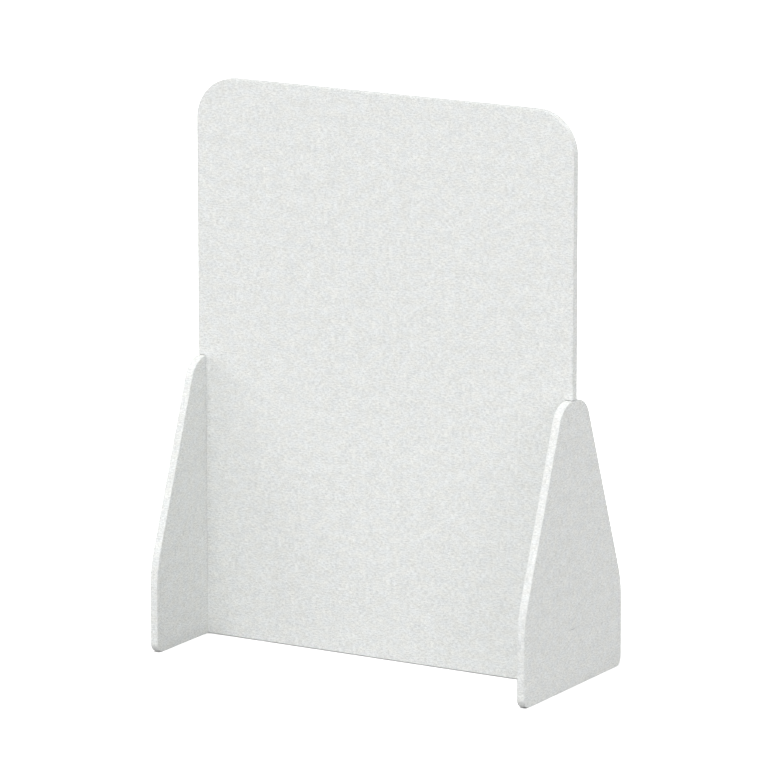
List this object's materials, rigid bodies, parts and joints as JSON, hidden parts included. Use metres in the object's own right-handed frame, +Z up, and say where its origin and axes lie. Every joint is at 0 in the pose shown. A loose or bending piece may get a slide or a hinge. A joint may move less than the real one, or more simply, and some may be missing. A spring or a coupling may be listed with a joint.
{
  "type": "acoustic divider screen",
  "caption": "Free-standing acoustic screen: a textile-faced upright panel with rounded top corners, its lower corners notched to sit on and between feet with sloping sides.",
  "frame": {"origin": "on the floor, midway between the two feet and midway through the panel's thickness", "axes": "+Z up, +X along the panel to the right as seen from the front, -Y towards the front"},
  "size_m": [1.2, 0.55, 1.6],
  "materials": {
    "textile": "matte",
    "fibre_core": "matte",
    "lath_wood": "matte",
    "zinc_steel": "satin",
    "brass_sleeve": "satin"
  },
  "bodies": {
    "root": {"panel_core": "fibre_core", "panel_front_textile": "textile", "panel_back_textile": "textile", "panel_edge_textile": "textile", "panel_left_lath": "lath_wood", "panel_right_lath": "lath_wood", "left_foot_core": "fibre_core", "left_foot_inner_textile": "textile", "left_foot_outer_textile": "textile", "left_foot_edge_textile": "textile", "left_foot_lath": "lath_wood", "left_hook_plates": "zinc_steel", "left_plate_screws": "zinc_steel", "left_stud_sleeves": "brass_sleeve", "left_studs": "zinc_steel", "right_foot_core": "fibre_core", "right_foot_inner_textile": "textile", "right_foot_outer_textile": "textile", "right_foot_edge_textile": "textile", "right_foot_lath": "lath_wood", "right_hook_plates": "zinc_steel", "right_plate_screws": "zinc_steel", "right_stud_sleeves": "brass_sleeve", "right_studs": "zinc_steel"}
  },
  "joints": []
}
